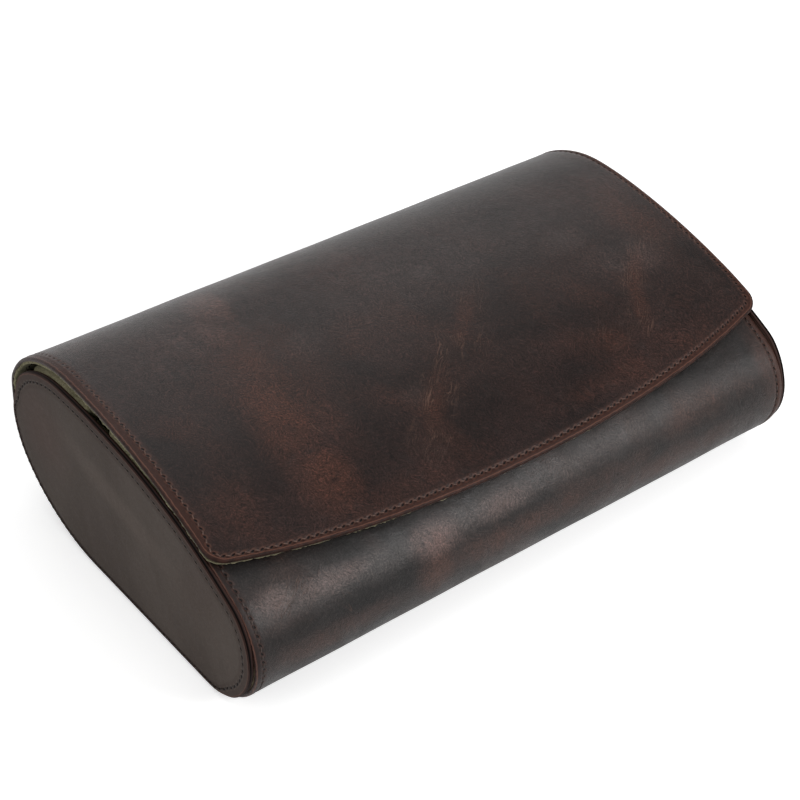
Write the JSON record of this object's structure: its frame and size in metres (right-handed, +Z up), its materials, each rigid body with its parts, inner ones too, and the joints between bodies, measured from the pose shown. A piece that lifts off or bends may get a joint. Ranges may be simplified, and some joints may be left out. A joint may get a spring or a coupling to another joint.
{
  "type": "watch travel case",
  "caption": "Leather tube-shaped travel case for watches, with flat bottom, end panels, a fold-over flap on a leather hinge, hidden magnets, and padded pillows in divided cells.",
  "frame": {"origin": "middle of the footprint, on the surface that the case stands on", "axes": "+X along the case to its right end, +Y to the back, where the flap is hinged, +Z up"},
  "size_m": [0.302, 0.1913, 0.0991],
  "materials": {
    "outer_leather": "waxed pull-up leather, dark brown, satin, with lighter scuffs",
    "end_panel_leather": "smooth dark brown leather, matt, with a burnished red-brown edge",
    "lining_suede": "olive suede, short nap",
    "pillow_suede": "olive suede over foam",
    "stiffener_board": "pressed paper board",
    "magnet": "plated disc magnet"
  },
  "bodies": {
    "case": {"outer_wrap": "outer_leather", "wrap_board": "stiffener_board", "wrap_lining": "lining_suede", "lip_magnets": "magnet", "left_end_panel": "end_panel_leather", "left_end_board": "stiffener_board", "left_end_lining": "lining_suede", "right_end_panel": "end_panel_leather", "right_end_board": "stiffener_board", "right_end_lining": "lining_suede", "floor_pad": "lining_suede", "centre_divider": "lining_suede", "cross_divider_1": "lining_suede", "cross_divider_2": "lining_suede", "cross_divider_3": "lining_suede", "cross_divider_4": "lining_suede"},
    "flap": {"flap_leather": "outer_leather", "flap_board": "stiffener_board", "flap_lining": "lining_suede", "flap_magnets": "magnet"},
    "front_pillow_1_body": {"front_pillow_1": "pillow_suede"},
    "front_pillow_2_body": {"front_pillow_2": "pillow_suede"},
    "front_pillow_3_body": {"front_pillow_3": "pillow_suede"},
    "front_pillow_4_body": {"front_pillow_4": "pillow_suede"},
    "front_pillow_5_body": {"front_pillow_5": "pillow_suede"},
    "back_pillow_1_body": {"back_pillow_1": "pillow_suede"},
    "back_pillow_2_body": {"back_pillow_2": "pillow_suede"},
    "back_pillow_3_body": {"back_pillow_3": "pillow_suede"},
    "back_pillow_4_body": {"back_pillow_4": "pillow_suede"},
    "back_pillow_5_body": {"back_pillow_5": "pillow_suede"}
  },
  "joints": [
    {"name": "flap_hinge", "type": "hinge", "parent": "case", "child": "flap", "pos_m": [0, 0.09603, 0.05863], "axis": [-1, 0, 0], "range_deg": [0, 190]},
    {"name": "front_pillow_1_lift", "type": "slide", "parent": "case", "child": "front_pillow_1_body", "axis": [0, 0, 1], "range_m": [0, 0.007]},
    {"name": "front_pillow_2_lift", "type": "slide", "parent": "case", "child": "front_pillow_2_body", "axis": [0, 0, 1], "range_m": [0, 0.007]},
    {"name": "front_pillow_3_lift", "type": "slide", "parent": "case", "child": "front_pillow_3_body", "axis": [0, 0, 1], "range_m": [0, 0.007]},
    {"name": "front_pillow_4_lift", "type": "slide", "parent": "case", "child": "front_pillow_4_body", "axis": [0, 0, 1], "range_m": [0, 0.007]},
    {"name": "front_pillow_5_lift", "type": "slide", "parent": "case", "child": "front_pillow_5_body", "axis": [0, 0, 1], "range_m": [0, 0.007]},
    {"name": "back_pillow_1_lift", "type": "slide", "parent": "case", "child": "back_pillow_1_body", "axis": [0, 0, 1], "range_m": [0, 0.03]},
    {"name": "back_pillow_2_lift", "type": "slide", "parent": "case", "child": "back_pillow_2_body", "axis": [0, 0, 1], "range_m": [0, 0.03]},
    {"name": "back_pillow_3_lift", "type": "slide", "parent": "case", "child": "back_pillow_3_body", "axis": [0, 0, 1], "range_m": [0, 0.03]},
    {"name": "back_pillow_4_lift", "type": "slide", "parent": "case", "child": "back_pillow_4_body", "axis": [0, 0, 1], "range_m": [0, 0.03]},
    {"name": "back_pillow_5_lift", "type": "slide", "parent": "case", "child": "back_pillow_5_body", "axis": [0, 0, 1], "range_m": [0, 0.03]}
  ]
}
